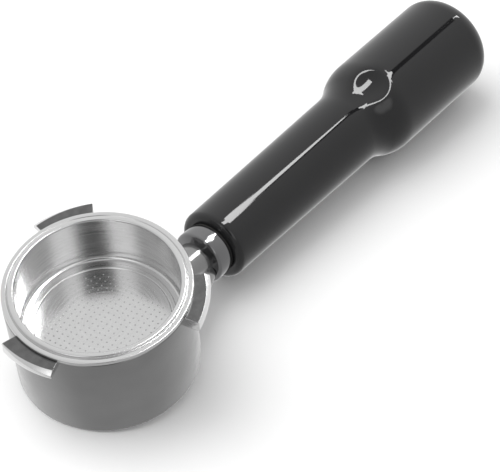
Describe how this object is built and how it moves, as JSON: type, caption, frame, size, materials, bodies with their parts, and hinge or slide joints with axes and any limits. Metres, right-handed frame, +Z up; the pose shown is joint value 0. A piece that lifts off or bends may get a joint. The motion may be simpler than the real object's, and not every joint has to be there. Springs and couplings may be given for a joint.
{
  "type": "portafilter",
  "caption": "Bottomless portafilter: open chromed ring with bayonet lugs, perforated filter basket, neck with chromed collar and a round black handle that swells at the end.",
  "frame": {"origin": "on the cup's axis, in the plane of the ring's bottom edge", "axes": "+Z up the cup's axis, towards the machine's group head; +X along the handle, which slopes down 7.5 degrees; +Y to the left of the handle, looking along +X"},
  "size_m": [0.2342, 0.0707, 0.0715],
  "materials": {
    "holder_chrome": "satin chrome plate on cast metal",
    "basket_steel": "bright pressed stainless steel",
    "spring_steel": "drawn spring wire",
    "collar_chrome": "polished chrome plate",
    "washer_fibre": "matt vulcanised fibre",
    "stud_steel": "zinc-plated steel",
    "insert_brass": "turned brass",
    "grip_phenolic": "polished black phenolic moulding"
  },
  "bodies": {
    "holder": {"holder_body": "holder_chrome", "basket_spring": "spring_steel", "neck_collar": "collar_chrome", "collar_washer": "washer_fibre", "spring_washer": "spring_steel", "handle_stud": "stud_steel", "grip_insert": "insert_brass", "handle_grip": "grip_phenolic"},
    "basket": {"filter_basket": "basket_steel"}
  },
  "joints": [
    {"name": "basket_lift", "type": "slide", "parent": "holder", "child": "basket", "axis": [0, 0, 1], "range_m": [0, 0.03]}
  ]
}
